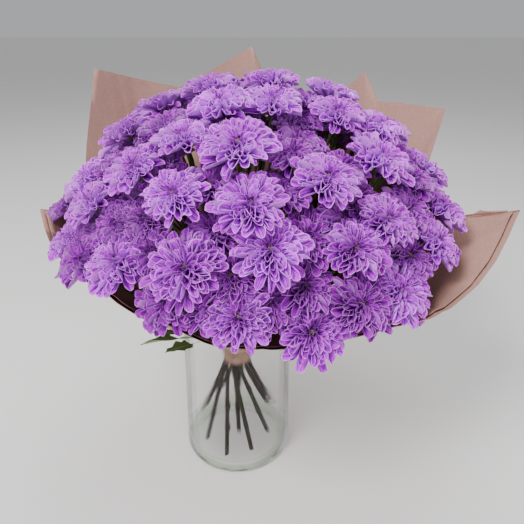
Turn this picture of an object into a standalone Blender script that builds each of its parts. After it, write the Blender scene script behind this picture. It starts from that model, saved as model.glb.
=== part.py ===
"""Chrysanthemums in a jar: a tied bunch of spray chrysanthemums in kraft paper, in a glass cylinder.

Metres, +Z up. The origin is the middle of the jar's flat underside. The front is -Y.
"""

import math
import random

import bmesh
import bpy
from mathutils import Matrix, Vector

# Glass jar
JAR_RADIUS = 0.065
JAR_HEIGHT = 0.180
JAR_WALL = 0.004
JAR_BASE = 0.012
JAR_HEEL = 0.006
JAR_FLOOR_FILLET = 0.004
JAR_SIDES = 40

# Stems: a ring of outer stems and a pair in the middle, all leaning the same way round the neck.
# The longest ones nearly reach the foot of the jar's wall. Cut heights are above the jar's floor.
STEM_RADIUS = 0.0027
STEM_GAP = 0.0007
NECK_BELOW_RIM = 0.050
STEM_TO_WALL = 0.005
INNER_LEAN = 0.22
FIRST_STEM_BEARING = -114.0
FIRST_MIDDLE_BEARING = -168.0
STEM_SIDES = 6
STEM_CUT_HEIGHTS = (0.020, 0.042, 0.024, 0.036, 0.018, 0.033, 0.008, 0.038, 0.014, 0.006, 0.010)
MIDDLE_CUT_HEIGHTS = (0.012, 0.038)

# The dome that the flower faces lie on, sized by half the bunch's width. It rests in the cone of
# the paper: its shape, and its centre from the cone's tip, are in half widths. The faces look
# away from a point in the stems just below the neck.
HALF_WIDTH = 0.215
DOME_SHAPE = Vector((1.0, 0.907, 0.907))
DOME_OFFSET = Vector((0.130, -0.047, 0.560))
CONE_RISE = 0.577
FACING_BELOW_NECK = 0.010
FACE_WOBBLE = math.radians(5)

# A flower head: the widths in the table below are across the open petals, and the solid is the
# dense body inside their tips
BODY_SHARE = 0.80
HEAD_DEPTH_SHARE = 0.46
CALYX_RADIUS = 0.0045
STALK_RADIUS = 0.0015
HEAD_SIDES = 10

# A stem's rise from the neck to its head, and where its side stalks fork from it
RISE_STEPS = 9
FORK_STEP = 5
LEAVE_NECK = 0.055
REACH_HEAD = 0.060
STALK_STEPS = 4
STALK_EASE = 0.35
STEM_TAPER = 0.3

# One row for each stem: (bearing, height angle, width in mm) of the heads that it carries on the
# dome. Bearings are in degrees from +X towards +Y. The first head of a row ends the stem itself.
OUTER_SPRAYS = (
    ((-168, 29, 56), (-170, 48, 54), (-160, 12, 54)),
    ((-148, 27, 54), (-134, 40, 54), (-127, 16, 60)),
    ((-114, 35, 54), (-121, 52, 54), (-107, 18, 64)),
    ((-92, 34, 60), (-98, 51, 66), (-94, 7, 56)),
    ((-69, 40, 60), (-87, 23.3, 61), (-78, 2.3, 56)),
    ((-54, 27, 54), (-66, 22, 56), (-54, 8, 60)),
    ((-43, 43, 62), (-35, 16, 54), (-26, 52, 52)),
    ((-4, 31, 56), (-18, 21, 58), (11, 46, 56)),
    ((35, 34, 58), (15, 27, 56), (44, 53, 56)),
    ((76, 34, 58), (55, 34, 54), (98, 30, 56)),
    ((142, 32, 58), (120, 36, 56), (164, 34, 54)),
)
CROWN_SPRAYS = (
    ((30, 86, 56), (10, 68, 56), (-46, 60, 52), (-81, 68, 53)),
    ((-168, 76, 54), (-115, 67, 64), (176, 60, 56), (136, 56, 56), (88, 62, 60)),
)

# Kraft paper: every sheet follows one funnel. It leaves the neck, opens over the jar's rim and
# then runs out to its own edge.
PAPER_THICKNESS = 0.0008
PAPER_LAYER_STEP = 0.0028
PAPER_GAP = 0.0009
PAPER_BELOW_NECK = 0.011
PAPER_OVER_TIE = 0.006
PAPER_OPENS = 0.014
PAPER_INSIDE_MOUTH = 0.011
PAPER_OVER_RIM = 0.014
PAPER_PAST_RIM = 0.003
LAYER_OUT = 0.6
LAYER_DOWN = 0.8
NECK_SPAN = 114.0
NECK_MIDDLES = (150.0, 30.0, -90.0)
# (bearing, slope over the jar's rim, slope gained in each further half width), in degrees
FUNNEL = (
    (-110, 35, 4),
    (-90, 27, 0),
    (-60, 25, 0),
    (-40, 25, 2),
    (-12, 26, 11),
    (12, 28, 28),
    (40, 31, 39),
    (90, 33, 37),
    (146, 35, 34),
    (180, 32, 26),
    (218, 36, 13),
    (250, 35, 4),
)
# Each sheet's layer, and the corners of its edge: (bearing, distance out from the jar's rim in
# hundredths of the half width)
SHEETS = {
    "kraft_sheet_back_left": (
        0,
        ((76, 116), (81, 138), (86, 155), (114, 131), (146, 145), (160, 95), (196, 70)),
    ),
    "kraft_sheet_back_right": (
        1,
        ((-14, 65), (8, 88), (17, 140), (35, 129), (42, 144), (54, 126), (88, 112)),
    ),
    "kraft_sheet_front": (
        2,
        (
            (-194, 70),
            (-174, 88),
            (-142, 58),
            (-112, 50),
            (-86, 52),
            (-62, 65),
            (-45, 85),
            (-38, 89),
            (-12, 123),
            (4, 84),
        ),
    ),
}
COLUMN_STEP = 6
COLUMN_LEAST = 2.5
FUNNEL_ROWS = 5
NECK_ROWS = 4

# Tie round the neck
TIE_THICKNESS = 0.0014
TIE_GAP = 0.0006
TIE_HEIGHT = 0.008
TIE_SIDES = 36
TIE_KNOT = Vector((0.008, 0.005, 0.006))

CLEARANCE = 0.0006

NECK_HEIGHT = JAR_HEIGHT - NECK_BELOW_RIM
STEM_DROP = NECK_HEIGHT - JAR_BASE - min(STEM_CUT_HEIGHTS)
OUTER_LEAN = (JAR_RADIUS - JAR_WALL - STEM_RADIUS - STEM_TO_WALL) / STEM_DROP
MOUTH = Vector((0.0, 0.0, JAR_HEIGHT + PAPER_OVER_RIM))
DOME_RADII = HALF_WIDTH * DOME_SHAPE
CONE_TIP = MOUTH - Vector((0.0, 0.0, CONE_RISE * (JAR_RADIUS + PAPER_PAST_RIM)))
DOME_CENTRE = CONE_TIP + HALF_WIDTH * DOME_OFFSET
FACE_AWAY_FROM = Vector((DOME_CENTRE.x, 0.0, NECK_HEIGHT - FACING_BELOW_NECK))


def clear_scene():
    for obj in list(bpy.data.objects):
        bpy.data.objects.remove(obj, do_unlink=True)


def material(name, colour, roughness, metallic=0.0, transmission=0.0):
    made = bpy.data.materials.new(name)
    made.use_nodes = True
    shader = made.node_tree.nodes["Principled BSDF"]
    shader.inputs["Base Color"].default_value = (*colour, 1.0)
    shader.inputs["Roughness"].default_value = roughness
    shader.inputs["Metallic"].default_value = metallic
    shader.inputs["Transmission Weight"].default_value = transmission
    return made


def finish_object(name, bm, finish):
    """Turns a bmesh into a named object with its normals out and its round faces smooth."""
    bmesh.ops.recalc_face_normals(bm, faces=bm.faces)
    mesh = bpy.data.meshes.new(name)
    bm.to_mesh(mesh)
    bm.free()
    mesh.shade_smooth()
    mesh.set_sharp_from_angle(angle=math.radians(40))
    mesh.materials.append(finish)
    obj = bpy.data.objects.new(name, mesh)
    bpy.context.scene.collection.objects.link(obj)
    return obj


def turned(bm, outline, sides):
    """Spins an outline of (radius, height) points about Z and closes any ring left open."""
    points = [bm.verts.new((radius, 0.0, height)) for radius, height in outline]
    edges = [bm.edges.new(pair) for pair in zip(points, points[1:])]
    bmesh.ops.spin(
        bm,
        geom=points + edges,
        axis=(0.0, 0.0, 1.0),
        cent=(0.0, 0.0, 0.0),
        angle=math.tau,
        steps=sides,
        use_merge=True,
    )
    bmesh.ops.remove_doubles(bm, verts=bm.verts, dist=1e-5)
    rim = [edge for edge in bm.edges if edge.is_boundary]
    return bmesh.ops.holes_fill(bm, edges=rim, sides=0)["faces"]


def arc(centre, radius, start, end, steps):
    """Points of an arc in an outline's plane, with both ends."""
    angles = (math.radians(start + (end - start) * i / steps) for i in range(steps + 1))
    return [(centre[0] + radius * math.cos(a), centre[1] + radius * math.sin(a)) for a in angles]


def bezier(start, first, second, end, steps):
    points = []
    for i in range(steps + 1):
        t = i / steps
        s = 1 - t
        points.append(s**3 * start + 3 * s * s * t * first + 3 * s * t * t * second + t**3 * end)
    return points


def direction_at(path, i):
    return (path[min(i + 1, len(path) - 1)] - path[max(i - 1, 0)]).normalized()


def sweep(bm, face, path, radii):
    """Extrudes a cap along a path, turning it with the path and fitting its radius."""
    heading = direction_at(path, 0)
    for i in range(1, len(path)):
        face = bmesh.ops.extrude_discrete_faces(bm, faces=[face])["faces"][0]
        turn = heading.rotation_difference(direction_at(path, i)).to_matrix()
        bmesh.ops.rotate(bm, cent=path[i - 1], matrix=turn, verts=face.verts)
        bmesh.ops.translate(bm, vec=path[i] - path[i - 1], verts=face.verts)
        share = radii[i] / radii[i - 1]
        bmesh.ops.scale(
            bm, vec=(share,) * 3, space=Matrix.Translation(-path[i]), verts=face.verts
        )
        heading = direction_at(path, i)


# ---------------------------------------------------------------- jar


def build_jar(finish):
    inner = JAR_RADIUS - JAR_WALL
    lip = JAR_WALL / 2
    outline = arc((JAR_RADIUS - JAR_HEEL, JAR_HEEL), JAR_HEEL, -90, 0, 4)
    outline += arc((JAR_RADIUS - lip, JAR_HEIGHT - lip), lip, 0, 180, 4)
    fillet = JAR_FLOOR_FILLET
    outline += arc((inner - fillet, JAR_BASE + fillet), fillet, 0, -90, 3)
    bm = bmesh.new()
    turned(bm, outline, JAR_SIDES)
    return finish_object("glass_jar", bm, finish)


# ---------------------------------------------------------------- stems and flowers


def outer_ring_radius():
    """The throat on which leaning stems clear each other by STEM_GAP."""
    count = len(OUTER_SPRAYS)
    apart = 2 * STEM_RADIUS + STEM_GAP
    half = math.pi / count
    cosine = 1 / math.hypot(1, OUTER_LEAN)
    return apart / (2 * math.sin(half) * math.hypot(cosine, (1 - cosine) * math.sin(half)))


def bunch_radius(above_neck):
    """How far the leaning stems reach from the middle, at a height above or below the neck."""
    return math.hypot(outer_ring_radius(), OUTER_LEAN * above_neck) + STEM_RADIUS


def stem_line(throat, bearing, lean):
    """The point of a stem at the neck, and its upward direction there."""
    across = Vector((math.cos(bearing), math.sin(bearing), 0.0))
    along = Vector((math.sin(bearing), -math.cos(bearing), 0.0))
    point = throat * across + Vector((0.0, 0.0, NECK_HEIGHT))
    return point, (lean * along + Vector((0.0, 0.0, 1.0))).normalized()


def head_place(bearing, height_angle, draw):
    """The middle of a flower's face on the dome, and the way that it faces."""
    turn, rise = math.radians(bearing), math.radians(height_angle)
    out = Vector((math.cos(rise) * math.cos(turn), math.cos(rise) * math.sin(turn), math.sin(rise)))
    point = DOME_CENTRE + DOME_RADII * out
    wobble = Vector([draw.uniform(-1, 1) for _ in range(3)]) * math.tan(FACE_WOBBLE)
    return point, ((point - FACE_AWAY_FROM).normalized() + wobble).normalized()


def head_outline(width):
    """The half outline of a head, from the middle of its face down to its stalk."""
    wide = BODY_SHARE * width / 2
    deep = HEAD_DEPTH_SHARE * width
    return (
        (0.0, 0.0),
        (0.45 * wide, -0.04 * deep),
        (0.82 * wide, -0.20 * deep),
        (wide, -0.44 * deep),
        (0.78 * wide, -0.66 * deep),
        (CALYX_RADIUS, -0.86 * deep),
        (STALK_RADIUS, -deep),
    )


def build_head(name, place, facing, width, stalk, finish):
    bm = bmesh.new()
    cap = turned(bm, head_outline(width), HEAD_SIDES)[0]
    turn = Vector((0.0, 0.0, 1.0)).rotation_difference(facing).to_matrix().to_4x4()
    bmesh.ops.transform(bm, matrix=Matrix.Translation(place) @ turn, verts=bm.verts)
    if stalk:
        sweep(bm, cap, stalk, [STALK_RADIUS] * len(stalk))
    return finish_object(name, bm, finish)


def head_base(place, facing, width):
    return place - HEAD_DEPTH_SHARE * width * facing


def build_stem(name, path, finish):
    bm = bmesh.new()
    made = bmesh.ops.create_circle(bm, cap_ends=True, radius=STEM_RADIUS, segments=STEM_SIDES)
    cap = made["verts"][0].link_faces[0]
    turn = Vector((0.0, 0.0, 1.0)).rotation_difference(direction_at(path, 0)).to_matrix()
    bmesh.ops.transform(
        bm, matrix=Matrix.Translation(path[0]) @ turn.to_4x4(), verts=made["verts"]
    )
    bmesh.ops.duplicate(bm, geom=[cap])
    last = len(path) - 1
    taper = [STEM_RADIUS * (1 - STEM_TAPER * i / last) for i in range(last + 1)]
    sweep(bm, cap, path, taper)
    bmesh.ops.remove_doubles(bm, verts=bm.verts, dist=1e-6)
    return finish_object(name, bm, finish)


def side_stalk(base, facing, fork, heading):
    """A side head's stalk, from under the head to the side of the stem that carries it."""
    aside = (base - fork) - (base - fork).dot(heading) * heading
    aside.normalize()
    leave = fork + aside * (STEM_RADIUS + STALK_RADIUS + CLEARANCE)
    ease = STALK_EASE * (base - leave).length
    swing = (heading + aside).normalized()
    return bezier(base, base - ease * facing, leave + ease * swing, leave, STALK_STEPS)


def build_spray(index, line, cut_height, heads, first_head, draw, finishes):
    """A stem from its cut end to its own head, and the side heads that fork from it."""
    point, up = line
    placed = [(*head_place(bearing, rise, draw), width / 1000) for bearing, rise, width in heads]
    place, facing, width = placed[0]
    cut = point - up * ((NECK_HEIGHT - JAR_BASE - cut_height) / up.z)
    tip = head_base(place, facing, width) - CLEARANCE * facing
    rise = bezier(point, point + LEAVE_NECK * up, tip - REACH_HEAD * facing, tip, RISE_STEPS)
    build_stem(f"stem_{index:02d}", [cut, (cut + point) / 2] + rise, finishes["stem"])
    fork, heading = rise[FORK_STEP], direction_at(rise, FORK_STEP)
    for number, (place, facing, width) in enumerate(placed):
        name = f"flower_head_{first_head + number:02d}"
        base = head_base(place, facing, width)
        stalk = side_stalk(base, facing, fork, heading) if number else []
        build_head(name, place, facing, width, stalk, finishes["head"])


def build_flowers(finishes):
    draw = random.Random(4)
    count = len(OUTER_SPRAYS)
    first_head = 1
    for i, heads in enumerate(OUTER_SPRAYS):
        bearing = math.radians(FIRST_STEM_BEARING + 360 * i / count)
        line = stem_line(outer_ring_radius(), bearing, OUTER_LEAN)
        build_spray(i + 1, line, STEM_CUT_HEIGHTS[i], heads, first_head, draw, finishes)
        first_head += len(heads)
    for i, heads in enumerate(CROWN_SPRAYS):
        bearing = math.radians(FIRST_MIDDLE_BEARING) + math.pi * i
        line = stem_line(STEM_RADIUS + STEM_GAP / 2, bearing, INNER_LEAN)
        build_spray(count + i + 1, line, MIDDLE_CUT_HEIGHTS[i], heads, first_head, draw, finishes)
        first_head += len(heads)


# ---------------------------------------------------------------- paper


def slope_at(bearing):
    """The funnel's slope over the rim and its gain, blended evenly between the table's rows."""
    rows = [(row[0] + turn, *row[1:]) for turn in (-360, 0, 360) for row in FUNNEL]
    for low, high in zip(rows, rows[1:]):
        if low[0] <= bearing <= high[0]:
            share = (bearing - low[0]) / (high[0] - low[0])
            eased = share * share * (3 - 2 * share)
            return [a + eased * (b - a) for a, b in zip(low[1:], high[1:])]
    raise ValueError(f"no row holds bearing {bearing}")


def funnel_point(bearing, reach):
    """(radius, height) of the funnel at a distance out from the jar's rim."""
    slope, gain = slope_at(bearing)
    mean = math.radians(slope + gain * reach / HALF_WIDTH / 2)
    radius = JAR_RADIUS + PAPER_PAST_RIM + reach * math.cos(mean)
    return radius, MOUTH.z + reach * math.sin(mean)


def sheet_outline(bearing, reach, layer):
    """The (radius, height) stations of a sheet's inner face at one bearing, neck to edge."""
    out = layer * PAPER_LAYER_STEP
    low, waist, high, opens = (
        (bunch_radius(rise) + PAPER_GAP, NECK_HEIGHT + rise)
        for rise in (-PAPER_BELOW_NECK, 0.0, PAPER_OVER_TIE, PAPER_OPENS)
    )
    opens = (opens[0] + out, opens[1])
    mouth = JAR_RADIUS - JAR_WALL - PAPER_INSIDE_MOUTH
    inside = (mouth + LAYER_OUT * out, JAR_HEIGHT - LAYER_DOWN * out)
    between = ((opens[0] + inside[0]) / 2, (opens[1] + inside[1]) / 2)
    stations = [low, waist, high, opens, between, inside]
    for i in range(FUNNEL_ROWS + 1):
        radius, height = funnel_point(bearing, reach * i / FUNNEL_ROWS)
        stations.append((radius + LAYER_OUT * out, height - LAYER_DOWN * out))
    return stations


def edge_reach(corners, bearing):
    """How far the sheet reaches at a bearing, on edges that run straight between its corners."""
    rim = JAR_RADIUS + PAPER_PAST_RIM
    for low, high in zip(corners, corners[1:]):
        if low[0] <= bearing <= high[0]:
            share = (bearing - low[0]) / (high[0] - low[0])
            near, far = (HALF_WIDTH * corner[1] / 100 + rim for corner in (low, high))
            return near * far / (far + share * (near - far)) - rim
    raise ValueError(f"bearing {bearing} is outside the sheet")


def sheet_bearings(corners):
    """Bearings of the columns: every corner, and the shared steps that aren't close to one."""
    chosen = [corner[0] for corner in corners]
    first = math.ceil(chosen[0] / COLUMN_STEP) * COLUMN_STEP
    steps = range(first, chosen[-1], COLUMN_STEP)
    clear = [b for b in steps if min(abs(b - c) for c in chosen) >= COLUMN_LEAST]
    return sorted(chosen + clear)


def build_sheet(name, layer, corners, finish):
    bearings = sheet_bearings(corners)
    outlines = [sheet_outline(b, edge_reach(corners, b), layer) for b in bearings]
    columns, rows = len(bearings), len(outlines[0])
    bm = bmesh.new()
    bmesh.ops.create_grid(bm, x_segments=columns - 1, y_segments=rows - 1, size=0.5)
    middle = (bearings[0] + bearings[-1]) / 2
    for vert in bm.verts:
        column = round((vert.co.x + 0.5) * (columns - 1))
        row = round((vert.co.y + 0.5) * (rows - 1))
        radius, height = outlines[column][row]
        turn = math.radians(bearings[column])
        if row < NECK_ROWS:
            share = (bearings[column] - middle) / (bearings[-1] - bearings[0])
            turn = math.radians(NECK_MIDDLES[layer] + share * NECK_SPAN)
        vert.co = (radius * math.cos(turn), radius * math.sin(turn), height)
    bm.normal_update()
    outward = sum(face.normal.xy.dot(face.calc_center_median().xy) for face in bm.faces)
    if outward > 0:
        bmesh.ops.reverse_faces(bm, faces=bm.faces)
    bmesh.ops.solidify(bm, geom=bm.faces[:], thickness=PAPER_THICKNESS)
    return finish_object(name, bm, finish)


# ---------------------------------------------------------------- tie


def build_tie(finish):
    inner = bunch_radius(TIE_HEIGHT / 2) + PAPER_GAP + PAPER_THICKNESS + TIE_GAP
    outer = inner + TIE_THICKNESS
    low = NECK_HEIGHT - TIE_HEIGHT / 2
    high = low + TIE_HEIGHT
    soft = TIE_THICKNESS / 3
    outline = [
        (inner, low),
        (outer - soft, low),
        (outer, low + soft),
        (outer, high - soft),
        (outer - soft, high),
        (inner, high),
        (inner, low),
    ]
    bm = bmesh.new()
    turned(bm, outline, TIE_SIDES)
    tie = finish_object("neck_tie", bm, finish)
    knot_bm = bmesh.new()
    bmesh.ops.create_cube(knot_bm, size=1.0)
    bmesh.ops.scale(knot_bm, vec=TIE_KNOT, verts=knot_bm.verts)
    place = Vector((0.0, -(inner + TIE_KNOT.y / 2 + TIE_THICKNESS / 3), (low + high) / 2))
    bmesh.ops.translate(knot_bm, vec=place, verts=knot_bm.verts)
    bmesh.ops.bevel(
        knot_bm,
        geom=knot_bm.edges[:],
        offset=0.0015,
        segments=2,
        profile=0.5,
        affect="EDGES",
        material=-1,
    )
    knot = finish_object("tie_knot_guide", knot_bm, finish)
    knot.hide_render = True
    knot.display_type = "WIRE"
    joined = tie.modifiers.new("knot", "BOOLEAN")
    joined.operation = "UNION"
    joined.object = knot
    return tie


def main():
    clear_scene()
    finishes = {
        "head": material("purple_petals", (0.33, 0.06, 0.55), 0.55),
        "stem": material("olive_stem", (0.07, 0.06, 0.025), 0.6),
    }
    paper = material("kraft_paper", (0.42, 0.27, 0.19), 0.8)
    build_jar(material("clear_glass", (0.9, 0.95, 0.93), 0.02, transmission=1.0))
    build_flowers(finishes)
    for name, (layer, corners) in SHEETS.items():
        build_sheet(name, layer, corners, paper)
    build_tie(material("brown_tape", (0.25, 0.18, 0.12), 0.5))


main()
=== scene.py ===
"""Chrysanthemums in a jar: the flowers, leaves, stems, kraft paper, tie and glass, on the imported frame.

Metres, +Z up, the front is -Y, and the jar stands on Z = 0.
"""

import math
import random

import bmesh
import bpy
from mathutils import Matrix, Vector, noise


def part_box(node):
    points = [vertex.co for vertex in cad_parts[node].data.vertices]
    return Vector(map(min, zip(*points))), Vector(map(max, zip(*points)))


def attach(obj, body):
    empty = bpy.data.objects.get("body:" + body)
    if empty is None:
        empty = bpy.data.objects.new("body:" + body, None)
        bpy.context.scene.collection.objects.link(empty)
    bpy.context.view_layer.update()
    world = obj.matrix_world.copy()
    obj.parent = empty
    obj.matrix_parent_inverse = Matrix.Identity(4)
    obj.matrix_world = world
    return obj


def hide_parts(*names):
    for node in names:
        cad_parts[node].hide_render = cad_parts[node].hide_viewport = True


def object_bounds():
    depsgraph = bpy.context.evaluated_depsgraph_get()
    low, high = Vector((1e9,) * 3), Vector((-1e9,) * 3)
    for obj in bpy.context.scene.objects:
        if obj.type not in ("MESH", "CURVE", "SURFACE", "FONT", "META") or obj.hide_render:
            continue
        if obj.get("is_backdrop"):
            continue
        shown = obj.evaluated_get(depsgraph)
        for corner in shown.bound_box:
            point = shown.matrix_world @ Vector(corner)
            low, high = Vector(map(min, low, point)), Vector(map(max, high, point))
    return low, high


bl_info = {
    "name": "Chrysanthemums in a Jar",
    "version": (1, 0, 0),
    "blender": (4, 5, 0),
    "location": "View3D > Sidebar > Flowers",
    "description": "Dresses a framed bunch of chrysanthemums: blooms, leaves, stems, paper, tie and jar",
    "category": "Object",
}

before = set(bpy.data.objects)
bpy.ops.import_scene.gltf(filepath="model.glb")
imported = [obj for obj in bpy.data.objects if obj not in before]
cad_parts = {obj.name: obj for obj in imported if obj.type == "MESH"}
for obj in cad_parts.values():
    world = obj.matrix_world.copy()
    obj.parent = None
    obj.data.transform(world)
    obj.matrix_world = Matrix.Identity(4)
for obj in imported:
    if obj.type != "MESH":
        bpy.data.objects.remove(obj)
CAD_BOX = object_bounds()

GOLDEN_TURN = math.pi * (3 - math.sqrt(5))
UP = Vector((0.0, 0.0, 1.0))
HEAD_NODES = sorted(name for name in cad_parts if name.startswith("flower_head"))
STEM_NODES = sorted(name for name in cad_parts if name.startswith("stem"))
SHEET_NODES = sorted(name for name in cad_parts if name.startswith("kraft_sheet"))


# ---------------------------------------------------------------- shared helpers


def shade(red, green, blue):
    """A linear colour from everyday 0 to 255 values."""
    values = (channel / 255 for channel in (red, green, blue))
    return tuple(c / 12.92 if c <= 0.04045 else ((c + 0.055) / 1.055) ** 2.4 for c in values)


def ease(low, high, value):
    """0 below low, 1 above high, and a smooth step between them."""
    share = min(1.0, max(0.0, (value - low) / (high - low)))
    return share * share * (3 - 2 * share)


def blend_between(stations, value):
    """The height at value of a smooth line through (place, height) stations."""
    for low, high in zip(stations, stations[1:]):
        if value <= high[0]:
            return low[1] + (high[1] - low[1]) * ease(low[0], high[0], value)
    return stations[-1][1]


def merged_copy(name):
    """A bmesh of a frame node's shape with its loose triangles joined up."""
    bm = bmesh.new()
    bm.from_mesh(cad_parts[name].data)
    bmesh.ops.remove_doubles(bm, verts=bm.verts, dist=1e-5)
    return bm


def finish_piece(name, bm, finishes, nodes=(), sharp=60):
    """Turns a bmesh into a piece on the frame's one body, standing for its nodes."""
    mesh = bpy.data.meshes.new(name)
    bm.to_mesh(mesh)
    bm.free()
    mesh.shade_smooth()
    mesh.set_sharp_from_angle(angle=math.radians(sharp))
    for finish in finishes:
        mesh.materials.append(finish)
    piece = bpy.data.objects.new(name, mesh)
    bpy.context.scene.collection.objects.link(piece)
    if nodes:
        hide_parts(*nodes)
    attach(piece, "root")
    return piece


def arc(centre, radius, start, end, steps):
    """Points of an arc in an outline's plane, with both ends."""
    angles = (math.radians(start + (end - start) * i / steps) for i in range(steps + 1))
    return [(centre[0] + radius * math.cos(a), centre[1] + radius * math.sin(a)) for a in angles]


def heading_at(path, i):
    return (path[min(i + 1, len(path) - 1)] - path[max(i - 1, 0)]).normalized()


def smooth_path(points, cuts):
    """The points with cuts more between each pair, on a smooth curve through them."""
    first, last = 2 * points[0] - points[1], 2 * points[-1] - points[-2]
    held = [first, *points, last]
    path = []
    for a, b, c, d in zip(held, held[1:], held[2:], held[3:]):
        for step in range(cuts + 1):
            t = step / (cuts + 1)
            path.append(
                0.5
                * (
                    2 * b
                    + (c - a) * t
                    + (2 * a - 5 * b + 4 * c - d) * t * t
                    + (3 * b - a - 3 * c + d) * t**3
                )
            )
    return [*path, points[-1]]


def swept_rod(bm, path, radii, sides, material_index=0):
    """Extrudes a round cap along a path and closes both ends. Returns the two caps and the walls."""
    made = bmesh.ops.create_circle(bm, cap_ends=True, radius=radii[0], segments=sides)
    first = made["verts"][0].link_faces[0]
    turn = UP.rotation_difference(heading_at(path, 0)).to_matrix().to_4x4()
    bmesh.ops.transform(bm, matrix=Matrix.Translation(path[0]) @ turn, verts=made["verts"])
    cap = bmesh.ops.duplicate(bm, geom=[first])["geom"]
    cap = next(item for item in cap if isinstance(item, bmesh.types.BMFace))
    bmesh.ops.reverse_faces(bm, faces=[first])
    walls = []
    joined = list(first.verts) + list(cap.verts)
    heading = heading_at(path, 0)
    for i in range(1, len(path)):
        cap = bmesh.ops.extrude_discrete_faces(bm, faces=[cap])["faces"][0]
        walls += [face for edge in cap.edges for face in edge.link_faces if face != cap]
        turn = heading.rotation_difference(heading_at(path, i)).to_matrix()
        bmesh.ops.rotate(bm, cent=path[i - 1], matrix=turn, verts=cap.verts)
        bmesh.ops.translate(bm, vec=path[i] - path[i - 1], verts=cap.verts)
        share = radii[i] / radii[i - 1]
        bmesh.ops.scale(bm, vec=(share,) * 3, space=Matrix.Translation(-path[i]), verts=cap.verts)
        heading = heading_at(path, i)
    bmesh.ops.remove_doubles(bm, verts=joined, dist=1e-7)
    for face in [first, cap, *walls]:
        face.material_index = material_index
    return first, cap, walls


# ---------------------------------------------------------------- node helpers


def new_finish(name):
    """A material and its node tree, with its Principled shader and output kept."""
    finish = bpy.data.materials.new(name)
    finish.use_nodes = True
    return finish, finish.node_tree, finish.node_tree.nodes["Principled BSDF"]


def node(tree, kind, inputs=None, **settings):
    """Adds a node. Inputs are values or the sockets that feed them."""
    made = tree.nodes.new(kind)
    for name, value in settings.items():
        setattr(made, name, value)
    for key, value in (inputs or {}).items():
        if isinstance(value, bpy.types.NodeSocket):
            tree.links.new(value, made.inputs[key])
        else:
            made.inputs[key].default_value = value
    return made


def maths(tree, operation, *values):
    return node(tree, "ShaderNodeMath", dict(enumerate(values)), operation=operation).outputs[0]


def step_up(tree, value, low, high, start=0.0, end=1.0):
    """A smooth step of a value from start at low to end at high."""
    inputs = {"Value": value, 1: low, 2: high, 3: start, 4: end}
    made = node(
        tree, "ShaderNodeMapRange", inputs, interpolation_type="SMOOTHSTEP", clamp=True
    )
    return made.outputs[0]


def mix(tree, factor, first, second, blend_type="MIX"):
    """A mix of two colours. Plain colours have three channels."""
    inputs = {0: factor}
    for key, value in ((6, first), (7, second)):
        inputs[key] = value if isinstance(value, bpy.types.NodeSocket) else (*value, 1.0)
    made = node(tree, "ShaderNodeMix", inputs, data_type="RGBA", blend_type=blend_type)
    return made.outputs[2]


def speckle(tree, vector, scale, detail=2.0, roughness=0.5):
    inputs = {"Vector": vector, "Scale": scale, "Detail": detail, "Roughness": roughness}
    return node(tree, "ShaderNodeTexNoise", inputs).outputs["Fac"]


def stretched(tree, vector, scale):
    return node(tree, "ShaderNodeMapping", {"Vector": vector, "Scale": scale}).outputs[0]


def own_value(tree, name):
    return node(tree, "ShaderNodeAttribute", attribute_name=name).outputs["Fac"]


def own_map(tree, name):
    return node(tree, "ShaderNodeUVMap", uv_map=name).outputs[0]


def object_place(tree):
    return node(tree, "ShaderNodeTexCoord").outputs["Object"]


def bump(tree, shader, height, strength, distance):
    inputs = {"Height": height, "Strength": strength, "Distance": distance}
    made = node(tree, "ShaderNodeBump", inputs)
    tree.links.new(made.outputs[0], shader.inputs["Normal"])


# ---------------------------------------------------------------- settings


def colour_setting(name, description, default):
    """A colour that a user may change, with its label, its tip and its first value."""
    return bpy.props.FloatVectorProperty(
        name=name, description=description, default=default, subtype="COLOR"
    )


class BloomSettings(bpy.types.PropertyGroup):
    petals: bpy.props.IntProperty(
        name="Petals", description="Petals in each bloom", default=104, min=20, max=200
    )
    petal_thickness: bpy.props.FloatProperty(
        name="Petal Thickness",
        description="Thickness of one petal",
        default=0.00035,
        subtype="DISTANCE",
        unit="LENGTH",
    )
    filling_blooms: bpy.props.IntProperty(
        name="Filling Blooms",
        description="Blooms that sit deeper, in the widest gaps of the dome",
        default=78,
        min=0,
        max=90,
    )
    spread: bpy.props.FloatProperty(
        name="Spread",
        description="Width of the open petals, as a share of the framed head's",
        default=1.14,
        min=0.8,
        max=1.3,
        subtype="FACTOR",
    )
    face_colour: colour_setting(
        "Petal Face", "Colour of a petal's upper face", shade(222, 0, 255)
    )
    deep_colour: colour_setting(
        "Petal Depth", "Colour towards a petal's foot and the bloom's middle", shade(78, 0, 108)
    )
    # The rim colour is the petals' pale edge and paler tint, and also painted highlight on the rims and
    # painted light on the outer petals.
    pale_tint_and_highlight_colour: colour_setting(
        "Petal Rim", "Colour of a petal's thin rim and veins", shade(250, 166, 255)
    )
    back_colour: colour_setting(
        "Petal Back", "Colour of a petal's underside", shade(234, 176, 252)
    )


class GreenerySettings(bpy.types.PropertyGroup):
    leaves: bpy.props.IntProperty(
        name="Leaves", description="Leaves in the gaps between the blooms", default=26, min=0, max=60
    )
    leaf_colour: colour_setting("Leaf", "Colour of the leaves", shade(46, 72, 34))
    stem_green: colour_setting("Stem Green", "Green of the younger stems", shade(30, 33, 6))
    stem_brown: colour_setting(
        "Stem Brown", "Red-brown of the older stems and cut ends", shade(33, 15, 6)
    )


class PaperSettings(bpy.types.PropertyGroup):
    sheet_thickness: bpy.props.FloatProperty(
        name="Sheet Thickness",
        description="Thickness of one layer of paper",
        default=0.00045,
        subtype="DISTANCE",
        unit="LENGTH",
    )
    paper_colour: colour_setting("Paper", "Colour of the kraft paper", shade(176, 136, 123))
    fibre_colour: colour_setting(
        "Fibres", "Colour of the darker fibres in the paper", shade(140, 100, 90)
    )
    tie_colour: colour_setting("Tie", "Colour of the tape round the neck", shade(120, 92, 68))


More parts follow.
